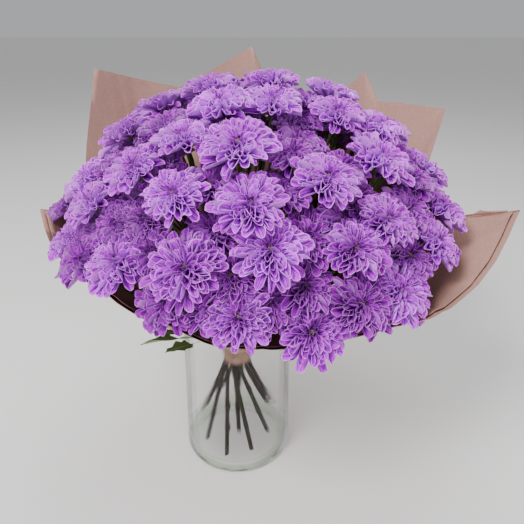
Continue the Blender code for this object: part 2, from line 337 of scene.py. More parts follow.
class JarSettings(bpy.types.PropertyGroup):
    glass_colour: bpy.props.FloatVectorProperty(
        name="Glass",
        description="Tint of the glass",
        default=(0.985, 0.997, 0.99),
        subtype="COLOR",
    )
    foot_colour: colour_setting(
        "Foot Colour", "Pale green of the thick glass at the foot", shade(212, 238, 206)
    )
    sides: bpy.props.IntProperty(
        name="Sides", description="Flats round the jar before smoothing", default=96, min=24, max=160
    )


class StageSettings(bpy.types.PropertyGroup):
    floor_size: bpy.props.FloatProperty(
        name="Floor Size",
        description="Width of the floor",
        default=80.0,
        subtype="DISTANCE",
        unit="LENGTH",
    )
    lens: bpy.props.FloatProperty(
        name="Lens",
        description="Focal length of the camera",
        default=35.13,
        subtype="DISTANCE_CAMERA",
        unit="CAMERA",
    )
    pitch: bpy.props.FloatProperty(
        name="Pitch",
        description="How far the camera looks down",
        default=math.radians(16.75),
        subtype="ANGLE",
        unit="ROTATION",
    )


def settings(name):
    return getattr(bpy.context.scene, name)


# ---------------------------------------------------------------- finishes


def petal_finish():
    """Violet petals: streaked faces, pale undersides, pale rims and outer petals with painted highlight,
    darker towards the bloom's middle, painted shade on deeper blooms.
    """
    look = settings("jar_blooms")
    finish, tree, shader = new_finish("violet_petals")
    across_along = node(
        tree, "ShaderNodeSeparateXYZ", {0: own_map(tree, "petal")}
    ).outputs
    tone, reach, side = (own_value(tree, name) for name in ("tone", "reach", "side"))
    across = maths(tree, "ABSOLUTE", maths(tree, "MULTIPLY_ADD", across_along[0], 2.0, -1.0))
    along = across_along[1]
    shifted = node(
        tree,
        "ShaderNodeCombineXYZ",
        {
            0: maths(tree, "MULTIPLY_ADD", tone, 31.0, across_along[0]),
            1: along,
            2: maths(tree, "MULTIPLY", reach, 7.0),
        },
    ).outputs[0]
    veins = speckle(tree, stretched(tree, shifted, (11.0, 0.9, 1.0)), 1.0, 3.0, 0.6)
    clouds = speckle(tree, stretched(tree, shifted, (2.0, 1.6, 1.0)), 1.0, 2.0)
    colour = mix(
        tree, step_up(tree, veins, 0.3, 0.6), look.deep_colour, look.face_colour
    )
    colour = mix(tree, step_up(tree, along, 0.1, 0.72, 1.0, 0.0), colour, look.deep_colour)
    # Pale patches, stronger on the outer petals, are partly their own paler tint and partly painted light
    # on their lit faces.
    pale_wash_and_painted_light = maths(
        tree,
        "MULTIPLY",
        step_up(tree, clouds, 0.55, 0.8, 0.0, 0.22),
        step_up(tree, reach, 0.3, 1.0, 0.3, 1.0),
    )
    colour = mix(tree, pale_wash_and_painted_light, colour, look.pale_tint_and_highlight_colour)
    # The pale band along a petal's sides and tip is partly its own pale edge and partly painted highlight
    # where the curled rims catch the light.
    side_rim_and_highlight = maths(
        tree,
        "MULTIPLY",
        step_up(tree, across, 0.88, 1.0),
        step_up(tree, along, 0.45, 0.85, 0.1, 1.0),
    )
    rim = maths(tree, "MAXIMUM", side_rim_and_highlight, step_up(tree, along, 0.95, 1.0))
    rim = maths(tree, "MULTIPLY", rim, step_up(tree, clouds, 0.3, 0.6, 0.35, 1.0))
    rim = maths(tree, "MULTIPLY", rim, step_up(tree, reach, 0.1, 0.5, 0.1, 0.6))
    colour = mix(tree, rim, colour, look.pale_tint_and_highlight_colour)
    heart = step_up(tree, reach, 0.12, 0.42, 0.85, 0.0)
    colour = mix(tree, heart, colour, look.deep_colour)
    back = mix(tree, step_up(tree, veins, 0.3, 0.7, 0.1, 0.6), look.back_colour, look.face_colour)
    back_shown = maths(tree, "MULTIPLY", side, step_up(tree, reach, 0.4, 0.95, 0.35, 0.85))
    colour = mix(tree, back_shown, colour, back)
    # The tone sets the petals' brightness: random per petal and bloom, and lowered as painted shade on
    # the deeper filling blooms.
    tone_and_depth_shade = maths(tree, "MULTIPLY_ADD", tone, 0.6, 0.62)
    tone_and_depth_shaded = node(tree, "ShaderNodeHueSaturation", {"Value": tone_and_depth_shade, "Color": colour})
    tree.links.new(tone_and_depth_shaded.outputs[0], shader.inputs["Base Color"])
    roughness = maths(tree, "MULTIPLY_ADD", veins, 0.2, 0.42)
    tree.links.new(roughness, shader.inputs["Roughness"])
    shader.inputs["Specular IOR Level"].default_value = 0.12
    bump(tree, shader, veins, 0.5, 0.0003)
    return finish


def floret_finish():
    """The yellow-green specks of unopened florets in a bloom's heart."""
    finish, tree, shader = new_finish("green_florets")
    grain = speckle(tree, object_place(tree), 900.0)
    colour = mix(tree, grain, shade(96, 104, 40), shade(186, 178, 88))
    tree.links.new(colour, shader.inputs["Base Color"])
    shader.inputs["Roughness"].default_value = 0.6
    bump(tree, shader, grain, 0.4, 0.0003)
    return finish


def calyx_finish():
    look = settings("jar_greenery")
    finish, tree, shader = new_finish("green_calyx")
    place = object_place(tree)
    patches = speckle(tree, place, 140.0, 3.0)
    colour = mix(tree, patches, look.leaf_colour, shade(104, 122, 58))
    tree.links.new(colour, shader.inputs["Base Color"])
    shader.inputs["Roughness"].default_value = 0.55
    bump(tree, shader, speckle(tree, place, 700.0), 0.4, 0.0003)
    return finish


def leaf_finish():
    """Dull green leaves with paler veins and undersides."""
    look = settings("jar_greenery")
    finish, tree, shader = new_finish("dull_green_leaf")
    along = node(tree, "ShaderNodeSeparateXYZ", {0: own_map(tree, "leaf")}).outputs
    across = maths(tree, "ABSOLUTE", maths(tree, "MULTIPLY_ADD", along[0], 2.0, -1.0))
    ribs = maths(tree, "MULTIPLY_ADD", along[1], 9.0, maths(tree, "MULTIPLY", across, -2.2))
    ribs = maths(tree, "PINGPONG", ribs, 0.5)
    vein = maths(
        tree,
        "MAXIMUM",
        step_up(tree, across, 0.1, 0.02),
        step_up(tree, ribs, 0.07, 0.0, 0.0, 0.7),
    )
    place = object_place(tree)
    patches = speckle(tree, place, 90.0, 3.0)
    colour = mix(tree, patches, look.leaf_colour, shade(66, 92, 44))
    colour = mix(tree, maths(tree, "MULTIPLY", vein, 0.6), colour, shade(126, 146, 84))
    colour = mix(tree, own_value(tree, "side"), colour, shade(120, 140, 96))
    tree.links.new(colour, shader.inputs["Base Color"])
    shader.inputs["Roughness"].default_value = 0.55
    bump(tree, shader, maths(tree, "SUBTRACT", patches, vein), 0.5, 0.0006)
    return finish


def stem_finish():
    """Bark of green-brown stems, ridged along their length, with scars and pale cut ends."""
    look = settings("jar_greenery")
    finish, tree, shader = new_finish("olive_stem")
    along = own_map(tree, "stem")
    tone = own_value(tree, "tone")
    place = object_place(tree)
    ridges = speckle(tree, stretched(tree, along, (16.0, 1.2, 1.0)), 1.0, 3.0, 0.6)
    patches = speckle(tree, stretched(tree, place, (1.0, 1.0, 0.25)), 110.0, 3.0)
    browning = maths(tree, "ADD", maths(tree, "MULTIPLY", tone, 0.55), patches)
    colour = mix(tree, step_up(tree, browning, 0.4, 0.95), look.stem_green, look.stem_brown)
    colour = mix(tree, step_up(tree, ridges, 0.6, 0.82, 0.0, 0.3), colour, shade(72, 66, 30))
    colour = mix(tree, step_up(tree, ridges, 0.42, 0.25, 0.0, 0.6), colour, shade(34, 24, 16))
    colour = mix(tree, own_value(tree, "scar"), colour, shade(150, 132, 92))
    tree.links.new(colour, shader.inputs["Base Color"])
    tree.links.new(
        maths(tree, "MULTIPLY_ADD", ridges, 0.3, 0.4), shader.inputs["Roughness"]
    )
    shader.inputs["Specular IOR Level"].default_value = 0.2
    bump(tree, shader, maths(tree, "ADD", ridges, patches), 0.6, 0.0005)
    return finish


# How fast the paper's faint ribs repeat across the sheet's map
PAPER_RIBS = 1900.0


def paper_finish():
    """Kraft paper: fine fibres, a soft mottle and faint ribs."""
    look = settings("jar_paper")
    finish, tree, shader = new_finish("kraft_paper")
    sheet = own_map(tree, "sheet")
    fibres = speckle(tree, stretched(tree, sheet, (700.0, 260.0, 1.0)), 1.0, 4.0, 0.65)
    crossing = speckle(tree, stretched(tree, sheet, (240.0, 620.0, 1.0)), 1.0, 3.0, 0.6)
    mottle = speckle(tree, sheet, 14.0, 4.0, 0.6)
    across_sheet = node(tree, "ShaderNodeSeparateXYZ", {0: sheet}).outputs[0]
    ribs = maths(tree, "SINE", maths(tree, "MULTIPLY", across_sheet, PAPER_RIBS))
    grain = maths(tree, "MULTIPLY_ADD", crossing, 0.5, maths(tree, "MULTIPLY", fibres, 0.5))
    colour = mix(tree, step_up(tree, grain, 0.4, 0.6, 0.3, 0.0), look.paper_colour, look.fibre_colour)
    colour = mix(tree, step_up(tree, mottle, 0.35, 0.7, 0.0, 0.22), colour, look.fibre_colour)
    colour = mix(tree, step_up(tree, fibres, 0.66, 0.76, 0.0, 0.3), colour, shade(226, 204, 184))
    tree.links.new(colour, shader.inputs["Base Color"])
    shader.inputs["Roughness"].default_value = 0.82
    height = maths(tree, "MULTIPLY_ADD", ribs, 0.08, grain)
    bump(tree, shader, height, 0.35, 0.0004)
    return finish


def tie_finish():
    look = settings("jar_paper")
    finish, tree, shader = new_finish("tie_tape")
    place = object_place(tree)
    weave = speckle(tree, stretched(tree, place, (1.0, 1.0, 7.0)), 500.0, 3.0, 0.6)
    colour = mix(tree, weave, look.tie_colour, shade(168, 140, 112))
    tree.links.new(colour, shader.inputs["Base Color"])
    shader.inputs["Roughness"].default_value = 0.6
    bump(tree, shader, weave, 0.5, 0.0004)
    return finish


def glass_finish():
    """Clear thin glass: it barely bends what is seen through it, and its coat gives the gloss."""
    look = settings("jar_glass")
    finish, tree, shader = new_finish("clear_glass")
    shader.inputs["Base Color"].default_value = (*look.glass_colour, 1.0)
    shader.inputs["Transmission Weight"].default_value = 1.0
    shader.inputs["IOR"].default_value = 1.06
    shader.inputs["Alpha"].default_value = 0.6
    shader.inputs["Coat Weight"].default_value = 0.4
    shader.inputs["Coat Roughness"].default_value = 0.02
    shader.inputs["Coat IOR"].default_value = 1.5
    shader.inputs["Roughness"].default_value = 0.0
    place = object_place(tree)
    waves = speckle(tree, stretched(tree, place, (1.0, 1.0, 0.5)), 22.0, 1.0)
    bump(tree, shader, waves, 0.08, 0.001)
    return finish


def foot_finish():
    """The jar's thick foot, where the glass shows its pale green."""
    look = settings("jar_glass")
    finish, tree, shader = new_finish("green_glass_foot")
    shader.inputs["Transmission Weight"].default_value = 1.0
    shader.inputs["IOR"].default_value = 1.3
    shader.inputs["Roughness"].default_value = 0.02
    place = object_place(tree)
    rings = speckle(tree, stretched(tree, place, (1.0, 1.0, 6.0)), 40.0, 2.0)
    colour = mix(tree, rings, look.foot_colour, shade(232, 246, 228))
    tree.links.new(colour, shader.inputs["Base Color"])
    bump(tree, shader, rings, 0.15, 0.001)
    return finish


# ---------------------------------------------------------------- blooms


def head_frame(name):
    """The middle of a framed head's face, the way that it faces, and its bloom's full width."""
    bm = merged_copy(name)
    for vert in bm.verts:
        around = [edge.other_vert(vert).co for edge in vert.link_edges]
        spans = [(co - vert.co).length for co in around]
        if len(around) == 10 and min(spans) > 0.005 and max(spans) < 1.05 * min(spans):
            facing = sum((face.normal for face in vert.link_faces), Vector()).normalized()
            middle = vert.co.copy()
            span = sum((co - middle).cross(facing).length for co in around) / len(around)
            bm.free()
            return middle, facing, 2 * span / 0.36
    raise ValueError(f"{name} has no face pole")


def petal_template(kind, draw, thickness):
    """One petal as a closed mesh: foot at the origin, one long and one wide along +X, face up."""
    bm = bmesh.new()
    uv = bm.loops.layers.uv.new("petal")
    bmesh.ops.create_grid(bm, x_segments=4, y_segments=4, size=0.5)
    bend = kind["bend"] + draw.uniform(-0.06, 0.06)
    cup = kind["cup"] * draw.uniform(0.7, 1.35)
    lift = kind["lift"] * draw.uniform(0.2, 1.8)
    notch = draw.uniform(-0.02, 0.05)
    lean = draw.uniform(-0.09, 0.09)
    twist = draw.uniform(-0.5, 0.5)
    for vert in bm.verts:
        vert.co.x = PETAL_ROWS[round(4 * (vert.co.x + 0.5))]
    for face in bm.faces:
        for loop in face.loops:
            loop[uv].uv = (loop.vert.co.y + 0.5, loop.vert.co.x)
    for vert in bm.verts:
        along, across = vert.co.x, 2 * vert.co.y
        half = blend_between(kind["widths"], along) / 2
        x = along + along**6 * (0.025 * (1 - across * across) - notch * (1 - abs(across)) ** 2)
        y = half * across
        z = cup * half * across * across * (1.25 - 0.45 * along)
        turn = twist * along * along
        y, z = y * math.cos(turn) - z * math.sin(turn), y * math.sin(turn) + z * math.cos(turn)
        y += lean * along * along / 0.3
        z = (z + 0.04 * math.sin(8 * along + 3 * across) * abs(across)) * kind["flatten"]
        z += bend * math.sin(math.pi * along) + lift * ease(0.55, 1.0, along)
        vert.co = (x, y, z)
    side = bm.faces.layers.float.new("side")
    top = set(bm.faces)
    bm.normal_update()
    bmesh.ops.solidify(bm, geom=bm.faces[:], thickness=thickness)
    under = sum(face.normal.z for face in top)
    for face in bm.faces:
        low = (face not in top) if under > 0 else (face in top)
        face[side] = 1.0 if low else 0.0
    mesh = bpy.data.meshes.new("petal_template")
    bm.to_mesh(mesh)
    bm.free()
    return mesh


PETAL_KINDS = (
    {
        "bend": 0.03,
        "cup": 0.9,
        "lift": 0.05,
        "flatten": 1.0,
        "widths": ((0.0, 0.36), (0.38, 0.72), (0.7, 1.0), (0.92, 0.94), (1.0, 0.56)),
    },
    {
        "bend": -0.05,
        "cup": 1.2,
        "lift": 0.1,
        "flatten": 1.0,
        "widths": ((0.0, 0.38), (0.38, 0.76), (0.7, 1.0), (0.92, 0.95), (1.0, 0.58)),
    },
    {
        "bend": -0.11,
        "cup": 1.4,
        "lift": 0.02,
        "flatten": 1.0,
        "widths": ((0.0, 0.42), (0.38, 0.82), (0.7, 1.0), (0.92, 0.92), (1.0, 0.54)),
    },
    {
        "bend": -0.15,
        "cup": 1.5,
        "lift": -0.03,
        "flatten": 1.0,
        "widths": ((0.0, 0.5), (0.38, 0.86), (0.7, 1.0), (0.92, 0.88), (1.0, 0.5)),
    },
)
PETAL_ROWS = (0.0, 0.38, 0.7, 0.92, 1.0)
VARIANTS = 5


def petal_places(width, count, draw):
    """Yields (matrix, kind, reach) for each petal of a bloom that faces +Z with its face at 0."""
    for i in range(count):
        reach = math.sqrt(1 - (i + 0.3) / count)
        tip_out = 0.5 * reach * draw.uniform(0.88, 1.08)
        tip_up = -0.01 - 0.15 * reach**2.6 - 0.06 * (1 - reach) ** 2 + draw.uniform(-0.03, 0.03)
        if reach > 0.9 and draw.random() < 0.35:
            tip_up -= draw.uniform(0.03, 0.14)
        foot = Vector((0.1 * reach, 0.0, -0.15 - 0.14 * reach))
        span = Vector((tip_out, 0.0, tip_up)) - foot
        wide = (0.05 + 0.068 * reach**0.8) * draw.uniform(0.85, 1.18)
        turn = Matrix.Rotation(i * GOLDEN_TURN + draw.uniform(-0.17, 0.17), 4, "Z")
        rise = Matrix.Rotation(-math.atan2(span.z, span.x), 4, "Y")
        roll = Matrix.Rotation(draw.gauss(0, 0.28), 4, "X")
        size = Matrix.Diagonal((span.length, wide, 0.7 * wide + 0.3 * span.length, 1.0))
        whole = Matrix.Scale(width, 4) @ turn @ Matrix.Translation(foot) @ rise @ roll @ size
        kind = min(3, int(4 * (1 - reach) / 0.8))
        yield whole, kind, reach


def bloom_mesh(bm, place, facing, width, templates, draw, painted_depth_shade=0.0):
    """Adds one bloom: its petals from the outside in, and the florets in its heart. Its last argument
    lowers the petals' tone as painted shade on a deeper bloom.
    """
    spin = Matrix.Rotation(draw.uniform(0, math.tau), 4, "Z")
    stand = Matrix.Translation(place) @ UP.rotation_difference(facing).to_matrix().to_4x4() @ spin
    tone, reach_layer = bm.faces.layers.float["tone"], bm.faces.layers.float["reach"]
    bloom_tone = draw.random()
    for matrix, kind, reach in petal_places(width, settings("jar_blooms").petals, draw):
        first_vert, first_face = len(bm.verts), len(bm.faces)
        bm.from_mesh(draw.choice(templates[kind]))
        bm.verts.ensure_lookup_table()
        bm.faces.ensure_lookup_table()
        bmesh.ops.transform(bm, matrix=stand @ matrix, verts=bm.verts[first_vert:])
        # A filling bloom's tone is scaled down by its depth share: painted shade for blooms that sit
        # deeper in the dome.
        own_tone = (0.55 * draw.random() + 0.45 * bloom_tone) * (1.0 - painted_depth_shade)
        for face in bm.faces[first_face:]:
            face[tone] = own_tone
            face[reach_layer] = reach
    for i in range(9):
        ring = 0.03 * width * math.sqrt((i + 0.2) / 9)
        spot = Vector((ring, 0.0, (draw.uniform(-0.1, -0.085)) * width))
        turn = Matrix.Rotation(i * GOLDEN_TURN, 4, "Z")
        size = Matrix.Diagonal((0.008 * width, 0.008 * width, 0.028 * width, 1.0))
        made = bmesh.ops.create_icosphere(bm, subdivisions=1, radius=1.0)
        bmesh.ops.transform(
            bm, matrix=stand @ turn @ Matrix.Translation(spot) @ size, verts=made["verts"]
        )
        for face in {face for vert in made["verts"] for face in vert.link_faces}:
            face.material_index = 2


def green_cup(place, facing, width):
    """The calyx under a bloom, closed at its top and at its stalk's end."""
    outline = (
        (0.0, -0.2 * width),
        (0.07 * width, -0.24 * width),
        (0.1 * width, -0.3 * width),
        (0.095 * width, -0.345 * width),
        (0.055 * width, -0.4 * width),
        (0.0022, -0.435 * width),
        (0.0016, -0.46 * width),
        (0.0, -0.46 * width),
    )
    cup = bmesh.new()
    points = [cup.verts.new((radius, 0.0, height)) for radius, height in outline]
    edges = [cup.edges.new(pair) for pair in zip(points, points[1:])]
    bmesh.ops.spin(
        cup, geom=points + edges, axis=UP, cent=(0, 0, 0), angle=math.tau, steps=12, use_merge=True
    )
    bmesh.ops.remove_doubles(cup, verts=cup.verts, dist=1e-6)
    bmesh.ops.recalc_face_normals(cup, faces=cup.faces)
    turn = UP.rotation_difference(facing).to_matrix().to_4x4()
    bmesh.ops.transform(cup, matrix=Matrix.Translation(place) @ turn, verts=cup.verts)
    return cup


def framed_stalk(name, place, facing, width):
    """The stalk that the frame gives a side head, cut off under its calyx and closed there."""
    stalk = merged_copy(name)
    cut = place - 0.445 * width * facing
    whole = stalk.verts[:] + stalk.edges[:] + stalk.faces[:]
    bmesh.ops.bisect_plane(stalk, geom=whole, plane_co=cut, plane_no=facing, clear_outer=True)
    rim = [edge for edge in stalk.edges if edge.is_boundary]
    bmesh.ops.holes_fill(stalk, edges=rim, sides=0)
    return stalk


def free_stalk(place, facing, width, source):
    """A curved stalk from under a filling bloom down into the bunch."""
    base = place - 0.455 * width * facing
    inward = (source - base).normalized()
    points = [
        base,
        base - 0.03 * facing,
        base + 0.075 * inward + 0.004 * inward.orthogonal(),
        base + 0.125 * inward,
    ]
    stalk = bmesh.new()
    path = smooth_path(points, 2)
    swept_rod(stalk, path, [0.0016] * len(path), 8)
    bmesh.ops.recalc_face_normals(stalk, faces=stalk.faces)
    return stalk


def add_green(bm, part):
    """Moves a green part into a bloom's mesh, in the calyx's finish."""
    for face in part.faces:
        face.material_index = 1
    mesh = bpy.data.meshes.new("green_part")
    part.to_mesh(mesh)
    part.free()
    bm.from_mesh(mesh)
    bpy.data.meshes.remove(mesh)


# The gap search tries this many directions, fills no gap narrower than the least one, and stays
# above the lowest heads within this turn to either side. Angles are in radians.
GAP_TRIES = 2400
LEAST_GAP = 0.082
BESIDE_TURN = 0.35


def gap_directions(taken, count, least):
    """The directions that lie furthest from those taken, widest gap first."""
    taken = list(taken)
    lowest = min(direction.z for direction in taken)
    candidates = []
    for i in range(GAP_TRIES):
        height = lowest + (1 - lowest) * (i + 0.5) / GAP_TRIES
        out = math.sqrt(1 - height * height)
        turn = i * GOLDEN_TURN
        candidate = Vector((out * math.cos(turn), out * math.sin(turn), height))
        beside = [t.z for t in taken if t.xy.angle(candidate.xy) < BESIDE_TURN]
        if beside and height > min(beside) + 0.01:
            candidates.append(candidate)
    gaps = [min(c.angle(t) for t in taken) for c in candidates]
    chosen = []
    for _ in range(count):
        widest = max(range(len(gaps)), key=gaps.__getitem__)
        if gaps[widest] < least:
            break
        best = candidates[widest]
        chosen.append((best, gaps[widest]))
        gaps = [min(gap, c.angle(best)) for gap, c in zip(gaps, candidates)]
    return chosen


def facing_source(frames):
    """The point that the framed blooms face away from, nearest to all their lines of sight."""
    left = Matrix(((0,) * 3,) * 3)
    right = Vector()
    for place, facing, _ in frames:
        flat = Matrix.Identity(3) - Matrix([[a * b for b in facing] for a in facing])
        left = left + flat
        right = right + flat @ place
    return left.inverted() @ right


def surface_reach(direction, point, frames):
    """How far the dome of blooms lies from a point, in a direction."""
    total, weight = 0.0, 0.0
    for place, _, _ in frames:
        offset = place - point
        near = math.exp(-((direction.angle(offset) / 0.22) ** 2))
        total += near * offset.length
        weight += near
    return total / weight


def filling_places(frames):
    """(place, facing, width) of the blooms that fill the gaps between the framed ones."""
    look = settings("jar_blooms")
    source = facing_source(frames)
    taken = [(place - source).normalized() for place, _, _ in frames]
    draw = random.Random(3)
    places = []
    for direction, gap in gap_directions(taken, look.filling_blooms, LEAST_GAP):
        sink = 0.002 + 0.02 * ease(0.19, 0.09, gap) + draw.uniform(-0.003, 0.004)
        reach = surface_reach(direction, source, frames) - sink
        tilt = Vector([draw.uniform(-1, 1) for _ in range(3)]) * 0.12
        facing = (direction + tilt).normalized()
        places.append((source + reach * direction, facing, draw.uniform(0.05, 0.056)))
    return source, places


class FLOWERS_OT_blooms(bpy.types.Operator):
    """Model every bloom with its petals, calyx and stalk"""

    bl_idname = "flowers.blooms"
    bl_label = "Blooms"

    def execute(self, context):
        draw = random.Random(21)
        look = settings("jar_blooms")
        thickness = look.petal_thickness / 0.012
        templates = [
            [petal_template(kind, draw, thickness) for _ in range(VARIANTS)] for kind in PETAL_KINDS
        ]
        finishes = [petal_finish(), calyx_finish(), floret_finish()]
        frames = [head_frame(name) for name in HEAD_NODES]
        source, fillings = filling_places(frames)
        for name, (place, facing, width) in zip(HEAD_NODES, frames):
            stalk = framed_stalk(name, place, facing, width)
            label = name.replace("flower_head", "bloom")
            self.build(label, place, facing, width, stalk, templates, draw, finishes, (name,), 0.0)
        for i, (place, facing, width) in enumerate(fillings):
            stalk = free_stalk(place, facing, width, source)
            label = f"filling_bloom_{i + 1:02d}"
            # Filling blooms take 0.8 of painted shade, which darkens them where they sit deeper.
            self.build(label, place, facing, width, stalk, templates, draw, finishes, (), 0.8)
        for mesh in [mesh for kind in templates for mesh in kind]:
            bpy.data.meshes.remove(mesh)
        return {"FINISHED"}

    def build(self, label, place, facing, width, stalk, templates, draw, finishes, nodes, painted_depth_shade):
        bm = bmesh.new()
        bm.loops.layers.uv.new("petal")
        for layer in ("side", "tone", "reach"):
            bm.faces.layers.float.new(layer)
        open_width = width * settings("jar_blooms").spread
        bloom_mesh(bm, place, facing, open_width, templates, draw, painted_depth_shade)
        add_green(bm, green_cup(place, facing, width))
        if stalk.faces:
            add_green(bm, stalk)
        finish_piece(label, bm, finishes, nodes)


# ---------------------------------------------------------------- stems


def stem_path(name):
    """The middle line of a framed stem, from its cut end up, and its radius at each point."""
    bm = merged_copy(name)
    by_height = sorted(bm.verts, key=lambda vert: vert.co.z)
    cut, ring = by_height[:6], by_height[-6:]
    seen = set(ring)
    points, radii = [], []
    while ring:
        middle = sum((vert.co for vert in ring), Vector()) / len(ring)
        spans = [(vert.co - middle).length for vert in ring]
        if len(ring) != 6 or max(spans) > 0.004:
            break
        points.append(middle)
        radii.append(sum(spans) / 6)
        ring = list({edge.other_vert(vert) for vert in ring for edge in vert.link_edges} - seen)
        seen.update(ring)
    foot = sum((vert.co for vert in cut), Vector()) / 6
    if (foot - points[-1]).length < 0.02:
        points.pop()
        radii.pop()
    neck, thick = points[-1], radii[-1]
    for share in (0.25, 0.5, 0.75, 1.0):
        points.append(neck.lerp(foot, share))
        radii.append(thick)
    bm.free()
    return points[::-1], radii[::-1]


# A stem's rod: its sides, its ridges, and how far a leaf scar reaches along it and swells it, all
# the way round and at the bud. Swellings are shares of the radius.
ROD_SIDES = 10
RIDGE_SHARE = 0.05
RIDGE_TWIST = 40
SCAR_REACH = 0.0035
SCAR_RING = 0.16
SCAR_BUD = 0.75


class FLOWERS_OT_stems(bpy.types.Operator):
    """Model the stems with their ridges, leaf scars and slanting cut ends"""

    bl_idname = "flowers.stems"
    bl_label = "Stems"

    def execute(self, context):
        draw = random.Random(5)
        finish = stem_finish()
        for name in STEM_NODES:
            points, radii = stem_path(name)
            cuts = 4
            path = smooth_path(points, cuts)
            scars = [draw.uniform(0.02, 0.035)]
            while scars[-1] < 0.2:
                scars.append(scars[-1] + draw.uniform(0.02, 0.034))
            bm = bmesh.new()
            uv = bm.loops.layers.uv.new("stem")
            tone = bm.faces.layers.float.new("tone")
            scar = bm.faces.layers.float.new("scar")
            first, cap, _ = swept_rod(bm, path, [radii[0]] * len(path), ROD_SIDES)
            self.shape(bm, path, radii, cuts, scars, draw)
            own_tone = draw.random()
            for face in bm.faces:
                face[tone] = own_tone
                face[scar] = 0.8 if face in (first, cap) else 0.0
            bmesh.ops.recalc_face_normals(bm, faces=bm.faces)
            self.map_along(bm, uv, path)
            finish_piece(name.replace("stem", "flower_stem"), bm, [finish], (name,))
        return {"FINISHED"}

    def shape(self, bm, path, radii, cuts, scars, draw):
        """Tapers the rod, swells it at each leaf scar and slants its cut end."""
        lengths = [0.0]
        for a, b in zip(path, path[1:]):
            lengths.append(lengths[-1] + (b - a).length)
        slant = Vector((draw.uniform(-1, 1), draw.uniform(-1, 1), 0)) * 0.5
        turns = [draw.uniform(0, math.tau) for _ in scars]
        for vert in bm.verts:
            i = min(range(len(path)), key=lambda k: (path[k] - vert.co).length_squared)
            low = min(i // (cuts + 1), len(radii) - 2)
            share = i / (cuts + 1) - low
            radius = radii[low] + (radii[low + 1] - radii[low]) * share
            out = vert.co - path[i]
            across = math.atan2(out.y, out.x)
            swell = 1.0 + RIDGE_SHARE * math.sin(2 * across + RIDGE_TWIST * lengths[i])
            for place, turn in zip(scars, turns):
                near = math.exp(-(((lengths[i] - place) / SCAR_REACH) ** 2))
                swell += near * (SCAR_RING + SCAR_BUD * max(0.0, math.cos(across - turn)) ** 4)
            vert.co = path[i] + out.normalized() * radius * swell
            if i == 0:
                vert.co += heading_at(path, 0) * out.dot(slant)

    def map_along(self, bm, uv, path):
        """Lays the map round and along the rod."""
        for face in bm.faces:
            centre = face.calc_center_median()
            i = min(range(len(path)), key=lambda k: (path[k] - centre).length_squared)
            heading = heading_at(path, i)
            side = heading.orthogonal().normalized()
            other = heading.cross(side)
            middle = math.atan2((centre - path[i]).dot(other), (centre - path[i]).dot(side))
            for loop in face.loops:
                out = loop.vert.co - path[i]
                angle = math.atan2(out.dot(other), out.dot(side))
                angle += math.tau * round((middle - angle) / math.tau)
                loop[uv].uv = (angle / math.tau, loop.vert.co.z / 0.03)


# ---------------------------------------------------------------- leaves


def leaf_template(draw, lobes):
    """A lobed leaf as a closed mesh: stalk end at the origin, one long along +X, face up."""
    bm = bmesh.new()
    uv = bm.loops.layers.uv.new("leaf")
    bmesh.ops.create_grid(bm, x_segments=16, y_segments=6, size=0.5)
    for face in bm.faces:
        for loop in face.loops:
            loop[uv].uv = (loop.vert.co.y + 0.5, loop.vert.co.x + 0.5)
    droop, fold = draw.uniform(0.1, 0.35), draw.uniform(0.1, 0.35)
    for vert in bm.verts:
        along, across = vert.co.x + 0.5, 2 * vert.co.y
        outline = ((0.0, 0.05), (0.2, 0.12), (0.42, 0.62), (0.66, 0.66), (0.85, 0.42), (1.0, 0.05))
        half = blend_between(outline, along) / 2
        teeth = 0.5 + 0.5 * math.cos(math.tau * lobes * along)
        half *= 1 - 0.42 * teeth * abs(across) ** 2 * ease(0.15, 0.4, along)
        z = fold * half * abs(across) - droop * along**2
        z += 0.05 * math.sin(9 * along) * across
        vert.co = (along - 0.1 * abs(across) * half, half * across, z)
    side = bm.faces.layers.float.new("side")
    top = set(bm.faces)
    bm.normal_update()
    bmesh.ops.solidify(bm, geom=bm.faces[:], thickness=0.008)
    under = sum(face.normal.z for face in top)
    for face in bm.faces:
        face[side] = 1.0 if (face not in top) == (under > 0) else 0.0
    mesh = bpy.data.meshes.new("leaf_template")
    bm.to_mesh(mesh)
    bm.free()
    return mesh


# (bearing and rise in degrees, length, width, roll in radians) of each leaf outside the jar's rim
NECK_LEAVES = (
    (-138, 22, 0.068, 0.032, 0.25),
    (-127, 19, 0.052, 0.026, -0.2),
    (-148, 23, 0.046, 0.024, 0.1),
)


